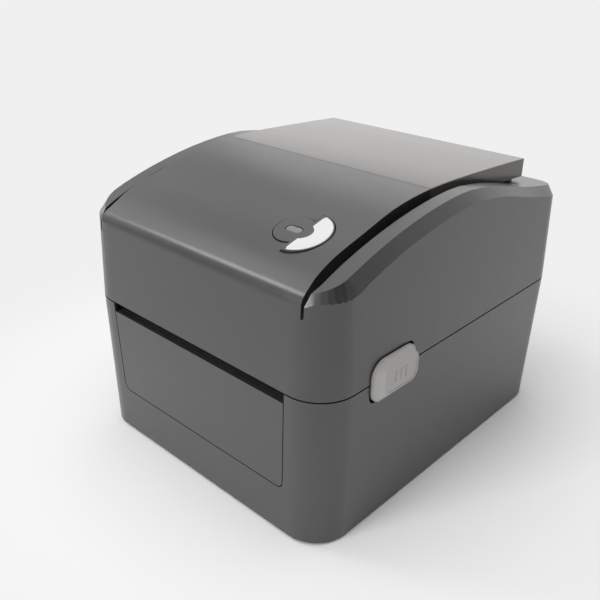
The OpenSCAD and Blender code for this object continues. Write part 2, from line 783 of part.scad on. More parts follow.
// ---- Electronics ----
board_y = half_d - 45.5;
board_x = boss_x - boss_r - 0.5;
board_d = 30;
board_hole_x = board_x - 8;
board_hole_y = 10;
port_face = lower_wall_y(port_z) - 0.4;
module main_board() {
    color("#1f5b34") difference() {
        union() {
            box(-board_x, board_x, board_y - board_d / 2, port_face - 12, board_z, board_z + board_t);
            box(-12, 6, board_y - 8, board_y + 8, board_z + board_t - eps, board_z + board_t + 1.4);
            box(-60, -52, board_y - 12, board_y + 4, board_z + board_t - eps, board_z + board_t + 6);
            for (p = [[34, 0], [46, -4]]) translate([p[0], board_y + p[1], board_z + board_t - eps])
                cylinder(h = board_part_h, r = 4, $fn = round_fn);
        }
        for (x = [-1, 1], y = [-1, 1]) translate([x * board_hole_x, board_y + y * board_hole_y, board_z - 1])
            cylinder(h = 4, r = screw_r, $fn = round_fn);
    }
}

module port_block(x, w, h) {
    box(x - w / 2, x + w / 2, port_face - 13, port_face, port_z - h / 2, port_z + h / 2);
    box(x - w / 2 + 1, x + w / 2 - 1, port_face - 13, port_face - 11.5 - seat, board_z + board_t + 0.05,
        port_z);
}

module dc_jack() {
    color("#141414") {
        difference() {
            port_block(jack_x, jack_w, jack_h);
            translate([jack_x, port_face + 1, port_z]) rotate([90, 0, 0])
                cylinder(h = 11, r = 3.1, $fn = round_fn);
        }
        translate([jack_x, port_face - 1, port_z]) rotate([90, 0, 0]) cylinder(h = 10, r = 1, $fn = round_fn);
    }
}

module usb_port() {
    color("#c9cacb") {
        difference() {
            port_block(usb_x, usb_w, usb_h);
            box(usb_x - 4.2, usb_x + 4.2, port_face - 9, port_face + 1, port_z - 4, port_z + 2.6);
            box(usb_x - 2.6, usb_x + 2.6, port_face - 9, port_face + 1, port_z + 2, port_z + 4.2);
        }
        box(usb_x - 2.8, usb_x + 2.8, port_face - 9.5, port_face - 1.5, port_z - 1.6, port_z + 1.4);
    }
}

rocker_tilt = 10;
rocker_y = port_face - 4;
module switch_frame() {
    color("#141414") difference() {
        union() {
            box(switch_x - switch_w / 2, switch_x + switch_w / 2, port_face - 16, port_face,
                port_z - switch_h / 2, port_z + switch_h / 2);
        }
        box(switch_x - 8.2, switch_x + 8.2, port_face - 12, port_face + 1, port_z - switch_h / 2 + 1,
            port_z + switch_h / 2 - 1);
    }
}

module power_rocker() {
    // bows outwards; drawn tipped to its off position
    color("#101010") translate([switch_x, rocker_y, port_z]) rotate([-rocker_tilt, 0, 0]) intersection() {
        across(-7.9, 7.9) polygon([[-3.5, -4], [-3.5, 4], [3.5, 4.9], [4.4, 0.9], [5.2, -0.2], [4.4, -0.9],
            [3.5, -4.9]]);
        bar_x(-9, 9, 0, 0, 6);
    }
}

// ================= Release buttons and latches =================
latch_x = half_w - 9.5;
hook_t = 2;
face_in = 2.8;
face_round = 0.5;
face_back = 2.2;
dish = 0.3;
dish_in = 0.8;
stem_in = 5;
flange_t = 1.2;
catch_z = part_z + button_h / 2 - stem_in + 0.5;
hook_top = catch_z + 5.2;

// Pad whose face sits a little behind the flange's middle, so that its front side leans the most
module pad_prism(x0, x1, inset) {
    translate([0, face_back, 0]) button_prism(x0, x1, -inset, flange_soft - inset, flange_soft - inset);
}

module button_body() {
    x_flange = half_w + flange_t;
    x_face = half_w + button_out;
    button_prism(latch_x + hook_t, x_flange - eps, -stem_in, flange_soft - stem_in, flange_soft - stem_in);
    button_prism(half_w, x_flange, 0, flange_soft, flange_tight);
    difference() {
        hull() {
            button_prism(x_flange - eps, x_flange, -1, flange_soft - 1, flange_tight - 1);
            pad_prism(x_face - face_round - 0.1, x_face - face_round, face_in);
            pad_prism(x_face - eps, x_face, face_in + face_round);
        }
        pad_prism(x_face - dish, x_face + 1, face_in + face_round + dish_in);
    }
    // small grip ridges in the dished face
    for (y = [-4, 0, 4]) box(x_face - dish - eps, x_face + 0.1, button_y + face_back + y - 0.6,
        button_y + face_back + y + 0.6, part_z - 3, part_z + 3);
}

module release_button_right() {
    color("#a9a8a4") button_body();
}

module release_button_left() {
    color("#a9a8a4") mirror([1, 0, 0]) button_body();
}

module latch_hook() {
    // plate behind the button with a hook that holds down the cover's catch
    box(latch_x, latch_x + hook_t - eps, button_y - 9, button_y + 9, part_z - 9, hook_top);
    box(latch_x, latch_x + 4.2, button_y - 9, button_y + 9, hook_top - 2.4, hook_top);
    bar_x(latch_x - 2.5, latch_x + eps, button_y, spring_z, 2.2);
}

module latch_hook_right() {
    color("silver") latch_hook();
}

module latch_hook_left() {
    color("silver") mirror([1, 0, 0]) latch_hook();
}

module spring(r, wire, length, turns) {
    // coil along +Z from z = 0
    translate([0, 0, wire]) linear_extrude(height = length - 2 * wire, twist = -360 * turns,
        slices = turns * 8)
        translate([r, 0]) circle(r = wire * 1.25, $fn = 6);
    for (z = [0, length - 1.6 * wire]) translate([0, 0, z]) difference() {
        cylinder(h = 1.6 * wire, r = r + wire, $fn = round_fn);
        translate([0, 0, -1]) cylinder(h = 4, r = r - wire, $fn = round_fn);
    }
}

spring_l = 12;
spring_x0 = latch_x - spring_l;
spring_z = part_z - 1;
module release_spring() {
    translate([spring_x0 + run, button_y, spring_z]) rotate([0, 90, 0])
        spring(3.2, 0.4, spring_l - 2 * run, 6);
}

module release_spring_right() {
    color("#c8c8c8") release_spring();
}

module release_spring_left() {
    color("#c8c8c8") mirror([1, 0, 0]) release_spring();
}

// ================= Cover =================
function station(cx, cy, r, a) = [cx, cy, r, a];
function at(s, inset) = [s[0] + (s[2] - inset) * cos(s[3]), s[1] + (s[2] - inset) * sin(s[3])];
corner_steps = 10;
side_steps = 18;
corner_half = 45 / corner_steps;
stations = concat(
    [station(0, -half_d + front_r, front_r, -90)],
    [for (a = steps(-90 + corner_half, -corner_half, corner_steps - 1))
        station(half_w - front_r, -half_d + front_r, front_r, a)],
    [for (i = [0.5:side_steps - 0.5])
        let (y = -half_d + front_r + (body_d - front_r - rear_r) * i / side_steps)
        station(half_w - rear_r, y, rear_r, 0)],
    [for (a = steps(corner_half, 90 - corner_half, corner_steps - 1))
        station(half_w - rear_r, half_d - rear_r, rear_r, a)],
    [station(0, half_d - rear_r, rear_r, 90)]);

function lean(s) = (crease(at(s, 0)[1]) - part_z) * draft_up;
function crease_pt(s, inset, drop) = let (p = at(s, lean(s) + inset)) [p[0], p[1],
    crease(at(s, lean(s))[1]) - drop];
function rail_pt(s, inset, drop) = let (p = at(s, lean(s) + inset + chamfer_in),
    q = at(s, lean(s) + chamfer_in))
    [p[0], p[1], rail(q[1]) - drop];
function beyond(a, b, t) = a + (a - b) * t;
function mirrored(p) = [-p[0], p[1], p[2]];

// Top of the cover with its chamfered edge; the walls come from the drafted block
module roof(inset, drop) {
    n = len(stations);
    rail_ring = [for (s = stations) rail_pt(s, inset, drop)];
    edge_ring = [for (s = stations) beyond(crease_pt(s, inset, drop), rail_pt(s, inset, drop), 0.8)];
    low_ring = [for (p = edge_ring) [p[0], p[1], part_z - 5]];
    half = concat(rail_ring, edge_ring, low_ring);
    points = concat(half, [for (p = half) mirrored(p)]);
    m = 3 * n;
    cap = [for (i = [1:n - 2]) each [[i, i + 1, m + i + 1], [i, m + i + 1, m + i]]];
    ends = [[0, 1, m + 1]];
    skin = [for (k = [0, 1], i = [0:n - 2]) let (a = k * n + i, b = a + 1, c = a + n + 1, d = a + n)
        each [[a, c, b], [a, d, c]]];
    other = [for (f = skin) [f[0] + m, f[2] + m, f[1] + m]];
    under = [for (i = [1:n - 2]) each [[2 * n + i, m + 2 * n + i + 1, 2 * n + i + 1],
        [2 * n + i, m + 2 * n + i, m + 2 * n + i + 1]]];
    under_end = [[2 * n, m + 2 * n + 1, 2 * n + 1]];
    welded = [for (f = concat(cap, ends, skin, other, under, under_end))
        [for (v = f) v == m ? 0 : v == m + n ? n : v == m + 2 * n ? 2 * n
            : v == m + n - 1 ? n - 1 : v == m + 2 * n - 1 ? 2 * n - 1 : v == m + 3 * n - 1 ? 3 * n - 1 : v]];
    polyhedron(points, [for (f = welded)
        if (f[0] != f[1] && f[1] != f[2] && f[0] != f[2]) [f[2], f[1], f[0]]],
        convexity = 6);
}

// Plan that tapers the groove to a point at the front face
module lid_plan(half, tip) {
    y = -half_d + 12;
    polygon([[-half, half_d], [-half, y], [-tip, -half_d - 1], [tip, -half_d - 1], [half, y],
        [half, half_d]]);
}

tip_x = lid_x + groove_w * 0.52;
function groove_floor(y) = let (front = part_z + cover_h * 0.572, t = min(1, (y + half_d) / 26))
    min(front + (lid(max(y, -half_d + 26)) - groove_depth * 0.75 - front) * t ^ 1.4,
        lid(y) - groove_depth * min(1, 0.75 + max(0, (y + half_d - 26) / 200)), rail(y));

floor_ys = steps(-half_d, window_rear + 2, 28);
module floor_profile(drop) {
    polygon(concat([for (y = floor_ys) [y, groove_floor(y) - drop]],
        [[window_rear + 2, part_z - 4], [-half_d, part_z - 4]]));
}

// Lid line with the rounded brow at the front, tangent to the leaning front wall
brow_from = -half_d + 6;
brow_slope = atan((lid(brow_from + 8) - lid(brow_from)) / 8);
brow_rise = tan(brow_slope);
brow_y = (-half_d + (lid(brow_from) - brow_rise * brow_from - part_z) * draft_up) / (1 - brow_rise * draft_up);
brow_z = lid(brow_from) + brow_rise * (brow_y - brow_from);
brow_len = brow_r * tan((90 - upper_draft - brow_slope) / 2);
// The rounding starts this far outside the wall, so that the two surfaces cross cleanly
brow_proud = 0.02;
module lid_profile(y1, drop) {
    start = brow_y + brow_len * cos(brow_slope) + 0.5;
    r = brow_r - drop;
    cy = brow_y - brow_len * sin(upper_draft) + brow_r * cos(upper_draft) - brow_proud;
    cz = brow_z - brow_len * cos(upper_draft) - brow_r * sin(upper_draft);
    arc = [for (a = steps(180 - upper_draft, 90 + brow_slope, 10)) [cy + r * cos(a), cz + r * sin(a)]];
    top = [for (y = steps(start, y1, 18)) [y, lid(y) - drop]];
    out = -half_d - 2 + drop;
    polygon(concat([[out, part_z - 4], [out, arc[0][1]]], arc, top, [[y1, part_z - 4]]));
}

module lid_band(y0, y1, top_drop, low_drop) {
    ys = steps(y0, y1, 16);
    polygon(concat([for (y = ys) [y, lid(y) - top_drop]],
        [for (i = [16:-1:0]) [ys[i], lid(ys[i]) - low_drop]]));
}

rim_x = lid_x - window_t - 2.6;
rim_front = window_front + 0.4;
rim_rear = window_rear - window_t - 1;
module cover_outer() {
    intersection() {
        upper_block(cover_low, cover_top + 2, 0);
        union() {
            across(-rail_x - 1, rail_x + 1) floor_profile(0);
            intersection() {
                across(-rail_x, rail_x) lid_profile(window_front, 0);
                translate([0, 0, part_z]) linear_extrude(height = cover_h + 5) lid_plan(lid_x, tip_x - 0.25);
            }
            difference() {
                roof(0, 0);
                translate([0, 0, part_z + 10]) linear_extrude(height = cover_h) difference() {
                    lid_plan(rail_x, tip_x + 0.25);
                    translate([-half_w, window_rear + 2]) square([body_w, 60]);
                }
            }
            // rim that carries the window
            across(-rim_x, rim_x) lid_band(rim_front - 1, rim_rear, window_t + 0.2, groove_depth + 4);
        }
    }
}

module cover_inner() {
    intersection() {
        upper_block(cover_low - 1, cover_top, wall);
        difference() {
            union() {
                across(-rail_x - wall - 1, rail_x + wall + 1) floor_profile(wall);
                across(-lid_x + wall, lid_x - wall) lid_profile(window_front - wall, wall);
                difference() {
                    roof(wall, wall);
                    translate([0, 0, part_z + 10]) linear_extrude(height = cover_h) difference() {
                        lid_plan(rail_x + wall, tip_x + 0.25 + wall);
                        translate([-half_w, window_rear + 2 + wall]) square([body_w, 60]);
                    }
                }
            }
        }
    }
}

key_slope = atan((lid(key_y + 5) - lid(key_y - 5)) / 10);
module on_key() {
    translate([key_x, key_y, lid(key_y)]) rotate([key_slope, 0, 0]) children();
}

module key_outline(grow) {
    intersection() {
        circle(r = key_r + grow, $fn = 96);
        translate([-grow, -key_r - 2]) square([key_r + 2 * grow + 2, 2 * key_r + 4]);
    }
    translate([-lobe_off, 0]) circle(r = lobe_r + grow, $fn = 96);
}

key_gap = 0.5;
head_y0 = platen_y - 9;
head_y1 = platen_y + 16;
carrier_z = part_z + 28;
carrier_t = 2.5;
carrier_front = -upper_wall_y(carrier_z + carrier_t) + wall + 1;
carrier_rear = head_y1 + 18;
post_x = head_x;
module carrier_places() {
    for (x = [-1, 1], y = [head_y0 - 1, head_y1 + 13]) translate([x * post_x, y, 0]) children();
}

// Sculpted shell with its window opening, at the width of the parting line
module cover_shell() {
    resize([2 * upper_wall_x(cover_low), 0, 0]) difference() {
        cover_outer();
        cover_inner();
        box(-rim_x + rim_w, rim_x - rim_w, rim_front + rim_w, rim_rear - rim_w, part_z + 20, cover_top + 5);
        // round rear edge that turns about the hinge
        difference() {
            box(-half_w, half_w, hinge_y, half_d + 5, part_z - 5, hinge_z);
            bar_x(-half_w - 1, half_w + 1, hinge_y, hinge_z, knuckle_r + run);
        }
    }
}

module upper_housing() {
    color("#505251") difference() {
        union() {
            cover_shell();
            // posts of the head carrier
            intersection() {
                carrier_places() translate([0, 0, carrier_z + carrier_t + 0.05])
                    cylinder(h = 60, r = 4, $fn = round_fn);
                across(-rail_x, rail_x) lid_profile(window_front, 1);
            }
            // hinge bosses beside the towers
            difference() {
                for (s = [-1, 1], k = [-1, 1]) hinge_boss(s * hinge_x + k * (tower_w / 2 + 2.5));
                box(-half_w, half_w, half_d - 30, half_d + 5, part_z - 5, cover_low);
            }
            // stiffening ribs inside the side walls
            both_sides() for (y = [-20:30:70]) intersection() {
                box(half_w - 8, half_w - 1, y, y + 1.5, cover_low + 6, crease(y) - 3);
                upper_block(cover_low, cover_top, 0.5);
            }
        }
        // notches for the hinge towers
        for (s = [-1, 1]) box(s * hinge_x - tower_w / 2 - 0.4, s * hinge_x + tower_w / 2 + 0.4,
            hinge_y - knuckle_r - 6, half_d + 5, part_z - 5, hinge_z + knuckle_r + 0.4);
        for (s = [-1, 1]) bar_x(s * hinge_x - pin_len / 2 - 0.3, s * hinge_x + pin_len / 2 + 0.3, hinge_y,
            hinge_z, hinge_pin_r + run);
        button_openings();
        // key opening with its ledge
        on_key() translate([0, 0, -wall - 1.5]) linear_extrude(height = wall + 6) key_outline(key_gap);
        carrier_places() translate([0, 0, carrier_z]) cylinder(h = 14, r = 1.2, $fn = round_fn);
    }
}

module hinge_boss(x) {
    bar_x(x - 2.1, x + 2.1, hinge_y, hinge_z, knuckle_r);
    box(x - 2.1, x + 2.1, hinge_y - 2, half_d - 2, hinge_z, hinge_z + 8);
}

module smoke_window() {
    x = lid_x - 0.2;
    y0 = window_front + 0.4;
    color("#9c9a94", 0.6) {
        difference() {
            across(-x, x) lid_band(y0, window_rear, 0, skirt_h);
            across(-x + window_t, x - window_t)
                lid_band(y0 - 1, window_rear - window_t, window_t, skirt_h + 3);
        }
    }
}

// ---- Feed key, status light and key board ----
key_t = 2;
board_drop = 8;
board_half = key_side - wall - 2.5;
light_r = 2;
light_off = 2.5;
module feed_key() {
    color("#505251") on_key() difference() {
        union() {
            translate([0, 0, -key_t]) linear_extrude(height = key_t + 0.3) key_outline(0);
            translate([6, 0, -board_drop + 3.3 + key_travel])
                cylinder(h = board_drop - key_t - 3.2 - key_travel, r = 2, $fn = round_fn);
        }
        translate([0, 0, -0.8]) linear_extrude(height = 3) inlay_outline(0.1);
        translate([-lobe_off, 0, -10]) linear_extrude(height = 20) light_outline(0.3);
    }
}

module inlay_outline(grow) {
    intersection() {
        difference() {
            circle(r = key_r - 1.1 + grow, $fn = 96);
            circle(r = 5.4 - grow, $fn = round_fn);
        }
        translate([1.6 - grow, -key_r]) square([key_r, 2 * key_r]);
    }
}

module light_outline(grow) {
    square([2 * light_off, 2 * (light_r + grow)], center = true);
    for (s = [-1, 1]) translate([s * light_off, 0]) circle(r = light_r + grow, $fn = round_fn);
}

module key_inlay() {
    color("#eceeed") on_key() translate([0, 0, -0.8]) linear_extrude(height = 1.5) inlay_outline(0);
}

module status_light() {
    color("#c9ccc8") on_key() translate([-lobe_off, 0, -board_drop + 1.2]) {
        linear_extrude(height = board_drop - 1.1) light_outline(0);
    }
}

module key_board() {
    color("#1f5b34") on_key() difference() {
        union() {
            translate([-board_half, -10, -board_drop]) cube([2 * board_half, 20, 1.2]);
            translate([3, -3, -board_drop + 1.1]) cube([6, 6, 2.1]);
            for (x = [-1, 1]) translate([x * (board_half - 2.5), 0, -board_drop + 1.1])
                cylinder(h = board_drop - 1.3 - wall, r = 1.6, $fn = round_fn);
        }
    }
}

// ---- Print head ----
head_low = label_z + 0.4;
head_t = 1.5;
sink_top = head_low + head_t + 8;
pivot_y = head_y1 - 3;
pivot_z = head_low + head_t + 4;
ear_x = head_x + 1;
ear_t = 3;
pivot_r = 2;
module print_head() {
    color("#e9e4d4") {
        box(-head_x + 1, head_x - 1, head_y0, head_y1, head_low, head_low + head_t - 0.02);
    }
}

module head_heatsink() {
    color("#a9acaf") {
        difference() {
            box(-head_x, head_x, head_y0, head_y1, head_low + head_t, sink_top);
            for (i = [0:4]) box(-head_x + 5, head_x - 5, head_y0 + 3 + i * 4, head_y0 + 5 + i * 4,
                sink_top - 4, sink_top + 1);
        }
        both_sides() bar_x(head_x - eps, ear_x + ear_t + 0.2, pivot_y, pivot_z, pivot_r);
    }
}

module head_carrier() {
    color("#3a3b3c") difference() {
        union() {
            box(-ear_x - ear_t, ear_x + ear_t, carrier_front, carrier_rear, carrier_z, carrier_z + carrier_t);
            both_sides() box(ear_x, ear_x + ear_t, pivot_y - 6, pivot_y + 6, pivot_z - 4, carrier_z + 1);
            for (y = [carrier_front, carrier_rear - 2])
                box(-ear_x - ear_t, ear_x + ear_t, y, y + 2, carrier_z - 5, carrier_z + 1);
            for (x = [-1, 1]) translate([x * head_spring_x, platen_y, carrier_z - 3])
                cylinder(h = 4, r = 2.4, $fn = round_fn);
        }
        both_sides() bar_x(ear_x - 1, ear_x + ear_t + 1, pivot_y, pivot_z, pivot_r + run);
        carrier_places() translate([0, 0, carrier_z - 1]) cylinder(h = 5, r = 1.2, $fn = round_fn);
    }
}

module carrier_screws() {
    color("silver") carrier_places() {
        translate([0, 0, carrier_z - 2]) cylinder(h = 1.95, r = 2.4, $fn = round_fn);
        translate([0, 0, carrier_z - 0.1]) cylinder(h = 11, r = 1.15, $fn = round_fn);
    }
}

head_spring_x = 34;
module head_springs() {
    color("#c8c8c8") for (x = [-1, 1]) translate([x * head_spring_x, platen_y, sink_top + 0.1])
        spring(3.4, 0.5, carrier_z - sink_top - 0.2, 6);
}

tear_x = 60;
tear_pitch = 3;
module tear_bar() {
    y = -upper_wall_y(cover_low + 8) + wall + run;
    color("silver") translate([0, y, 0]) rotate([90, 0, 180]) translate([0, 0, 0])
        linear_extrude(height = 0.8) {
        translate([-tear_x, cover_low + 1.6]) square([2 * tear_x, 6]);
        for (x = [-tear_x:tear_pitch:tear_x - tear_pitch])
            polygon([[x, cover_low + 1.7], [x + tear_pitch / 2, cover_low + 0.2],
                [x + tear_pitch, cover_low + 1.7]]);
    }
}

module latch_catches() {
    color("#505251") both_sides() {
        x1 = upper_wall_x(catch_z + 14) - wall - 0.1;
        box(latch_x + 2.7, x1, button_y - 8, button_y + 8, catch_z, catch_z + 2.2);
        box(x1 - 1.5, x1, button_y - 8, button_y + 8, catch_z + 2, catch_z + 14);
    }
}

lower_housing();
front_panel();
rubber_feet();
housing_screws();
media_tray();
paper_guide();
side_plate_left();
side_plate_right();
platen_bearings();
platen_roller();
platen_shaft();
platen_gear();
idler_gear();
idler_axle();
drive_motor();
motor_pinion();
sensor_rail();
sensor_carriage();
main_board();
dc_jack();
usb_port();
switch_frame();
power_rocker();
holder_left();
holder_right();
rack_left();
rack_right();
rack_pinion();
pinion_axle();
release_button_left();
release_button_right();
latch_hook_left();
latch_hook_right();
release_spring_left();
release_spring_right();
hinge_pins();
upper_housing();
smoke_window();
feed_key();
key_inlay();
key_board();
status_light();
head_carrier();
carrier_screws();
head_heatsink();
print_head();
head_springs();
tear_bar();
latch_catches();
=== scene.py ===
"""Looks of a desktop thermal label printer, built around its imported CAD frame.

Metres throughout, in the frame's own axes: front is -Y, up is +Z, the user's right is +X.
"""

import json
import math

import bmesh
import bpy
from mathutils import Matrix, Vector


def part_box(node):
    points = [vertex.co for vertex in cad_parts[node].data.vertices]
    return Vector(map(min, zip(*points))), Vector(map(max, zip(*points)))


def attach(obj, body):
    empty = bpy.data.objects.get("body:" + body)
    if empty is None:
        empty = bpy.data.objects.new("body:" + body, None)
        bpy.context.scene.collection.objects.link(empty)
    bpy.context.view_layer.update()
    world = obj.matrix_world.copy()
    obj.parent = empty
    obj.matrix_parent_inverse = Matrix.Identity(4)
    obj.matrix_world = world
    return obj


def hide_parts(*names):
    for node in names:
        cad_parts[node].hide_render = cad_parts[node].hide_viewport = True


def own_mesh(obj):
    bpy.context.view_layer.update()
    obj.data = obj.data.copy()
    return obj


MM = 0.001

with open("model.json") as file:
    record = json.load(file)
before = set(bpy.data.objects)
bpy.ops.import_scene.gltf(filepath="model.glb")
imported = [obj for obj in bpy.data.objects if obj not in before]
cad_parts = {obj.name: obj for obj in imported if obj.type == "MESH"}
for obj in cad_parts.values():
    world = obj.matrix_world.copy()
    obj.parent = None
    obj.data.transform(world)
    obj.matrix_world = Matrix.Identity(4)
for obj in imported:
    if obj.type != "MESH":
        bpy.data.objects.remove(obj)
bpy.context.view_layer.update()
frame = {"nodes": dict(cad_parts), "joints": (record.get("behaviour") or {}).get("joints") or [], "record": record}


# ---------------------------------------------------------------- camera

# Fitted to the printer's straight edges in the photograph
CAMERA_AZIMUTH = math.radians(42.621)
CAMERA_ELEVATION = math.radians(26.179)
CAMERA_ROLL = math.radians(1.013)
CAMERA_PLACE = Vector((0.25944, -0.308543, 0.2687))
CAMERA_REACH = 50
PICTURE_WIDTH = 600
FOCAL_PIXELS = 742.924
SENSOR = 36.0


def add_camera():
    """The photograph's view. The azimuth is how far the camera stands to the right of the front."""
    az, el, roll = CAMERA_AZIMUTH, CAMERA_ELEVATION, CAMERA_ROLL
    forward = Vector((-math.sin(az) * math.cos(el), math.cos(az) * math.cos(el), -math.sin(el)))
    level = Vector((math.cos(az), math.sin(az), 0))
    upright = level.cross(forward)
    right = level * math.cos(roll) + upright * math.sin(roll)
    up = upright * math.cos(roll) - level * math.sin(roll)
    data = bpy.data.cameras.new("camera")
    data.sensor_width = SENSOR
    data.lens = FOCAL_PIXELS / PICTURE_WIDTH * SENSOR
    data.clip_end = CAMERA_REACH
    camera = bpy.data.objects.new("camera", data)
    bpy.context.scene.collection.objects.link(camera)
    axes = Matrix((right, up, -forward)).transposed().to_4x4()
    camera.matrix_world = Matrix.Translation(CAMERA_PLACE) @ axes
    bpy.context.scene.camera = camera


# ---------------------------------------------------------------- materials

class Nodes:
    """A small helper that adds and joins the nodes of one material."""

    def __init__(self, name):
        self.material = bpy.data.materials.new(name)
        self.material.use_nodes = True
        self.tree = self.material.node_tree
        self.shader = self.tree.nodes["Principled BSDF"]
        self.place = self.add("ShaderNodeTexCoord").outputs["Object"]

    def add(self, kind, **settings):
        node = self.tree.nodes.new(kind)
        for key, value in settings.items():
            setattr(node, key, value)
        return node

    def join(self, source, target):
        self.tree.links.new(source, target)

    def feed(self, source, socket):
        """Joins a source to a socket of the shader."""
        self.join(source, self.shader.inputs[socket])

    def scaled(self, size, stretch=(1, 1, 1)):
        """The object's coordinates, counted in steps of size metres."""
        scale = self.add("ShaderNodeVectorMath", operation="MULTIPLY")
        scale.inputs[1].default_value = [s / size for s in stretch]
        self.join(self.place, scale.inputs[0])
        return scale.outputs[0]

    def noise(self, size, detail=2.0, stretch=(1, 1, 1)):
        """Noise whose cells are about size metres across."""
        place = self.scaled(size, stretch)
        noise = self.add("ShaderNodeTexNoise")
        noise.inputs["Scale"].default_value = 1.0
        noise.inputs["Detail"].default_value = detail
        self.join(place, noise.inputs["Vector"])
        return noise.outputs["Fac"]

    def pits(self, size):
        """Soft round pits about size metres apart."""
        place = self.scaled(size)
        cells = self.add("ShaderNodeTexVoronoi", feature="SMOOTH_F1")
        cells.inputs["Scale"].default_value = 1.0
        self.join(place, cells.inputs["Vector"])
        return cells.outputs["Distance"]

    def ramp(self, value, low, high):
        """Maps 0..1 onto low..high."""
        node = self.add("ShaderNodeMapRange")
        node.inputs["To Min"].default_value = low
        node.inputs["To Max"].default_value = high
        self.join(value, node.inputs["Value"])
        return node.outputs["Result"]

    def blend(self, value, first, second):
        """Runs from the first colour to the second as the value goes from 0 to 1."""
        node = self.add("ShaderNodeMix", data_type="RGBA")
        node.inputs["A"].default_value = (*first, 1)
        node.inputs["B"].default_value = (*second, 1)
        self.join(value, node.inputs["Factor"])
        return node.outputs["Result"]

    def bump(self, heights):
        """Stacks (height, strength, distance) layers and feeds the shader's normal."""
        normal = None
        for height, strength, distance in heights:
            node = self.add("ShaderNodeBump")
            node.inputs["Strength"].default_value = strength
            node.inputs["Distance"].default_value = distance
            self.join(height, node.inputs["Height"])
            if normal:
                self.join(normal, node.inputs["Normal"])
            normal = node.outputs["Normal"]
        self.feed(normal, "Normal")

    def set(self, **values):
        """Sets plain values on the shader's own sockets."""
        for key, value in values.items():
            self.shader.inputs[key.replace("_", " ")].default_value = value


def grey(level, warmth=0.0):
    """Linear colour of an sRGB grey level, with a little more red and less blue for warmth."""
    def linear(v):
        v /= 255
        return v / 12.92 if v <= 0.04045 else ((v + 0.055) / 1.055) ** 2.4

    return (linear(level + warmth), linear(level), linear(level - warmth))


SHADE_PATCH = 35 * MM
GLOSS_PATCH = 8 * MM
GLOSS_SPREAD = 0.05
GRAIN_HEIGHT = 0.03 * MM
BRUSHED_PATCH = 12 * MM
BRUSHED_SPREAD = 0.08
BRUSHED_HEIGHT = 0.02 * MM


def moulded(name, colour, rough, grain=0.35 * MM, depth=0.25, vary=0.06, specular=0.5):
    """Moulded plastic: spark-eroded grain, with faint changes of shade and gloss."""
    n = Nodes(name)
    cloud = n.noise(SHADE_PATCH, 3)
    fine = n.noise(grain, 2)
    low = [c * (1 - vary) for c in colour]
    high = [min(1, c * (1 + vary)) for c in colour]
    n.feed(n.blend(cloud, low, high), "Base Color")
    gloss = n.noise(GLOSS_PATCH, 4)
    n.feed(n.ramp(gloss, rough - GLOSS_SPREAD, rough + GLOSS_SPREAD), "Roughness")
    n.bump([(fine, depth, GRAIN_HEIGHT), (n.pits(grain * 1.6), depth * 0.6, GRAIN_HEIGHT)])
    n.set(Specular_IOR_Level=specular)
    return n.material


def smoke(name):
    """Tinted see-through window with a polished outside."""
    n = Nodes(name)
    n.feed(n.blend(n.noise(40 * MM, 2), grey(98, 4), grey(105, 4)), "Base Color")
    n.feed(n.ramp(n.noise(6 * MM, 3), 0.14, 0.2), "Roughness")
    n.bump([(n.noise(60 * MM, 1), 0.05, 1 * MM)])
    n.set(Transmission_Weight=0.15, IOR=1.5)
    return n.material


def metal(name, colour, rough, stretch=(1, 1, 1), grain=0.4 * MM, depth=0.15):
    """Bare metal; a stretch over 1 along an axis makes its grain finer that way, as brushing does."""
    n = Nodes(name)
    duller = [c * 0.9 for c in colour]
    n.feed(n.blend(n.noise(BRUSHED_PATCH, 3), duller, colour), "Base Color")
    brushed = n.noise(grain, 3, stretch)
    n.feed(n.ramp(brushed, rough - BRUSHED_SPREAD, rough + BRUSHED_SPREAD), "Roughness")
    n.bump([(n.noise(grain, 2, stretch), depth, BRUSHED_HEIGHT)])
    n.set(Metallic=1.0)
    return n.material


MASK_GREEN = (0.008, 0.07, 0.03)
TRACK_GREEN = (0.015, 0.13, 0.06)


def board(name):
    """Green solder mask with faint copper tracks under it."""
    n = Nodes(name)
    waves = n.add("ShaderNodeTexWave", wave_type="BANDS", bands_direction="X")
    waves.inputs["Scale"].default_value = 160
    waves.inputs["Distortion"].default_value = 3
    waves.inputs["Detail"].default_value = 1
    n.join(n.place, waves.inputs["Vector"])
    n.feed(n.blend(waves.outputs["Fac"], MASK_GREEN, TRACK_GREEN), "Base Color")
    n.feed(n.ramp(n.noise(3 * MM, 2), 0.25, 0.4), "Roughness")
    n.bump([(waves.outputs["Fac"], 0.3, 0.03 * MM)])
    return n.material


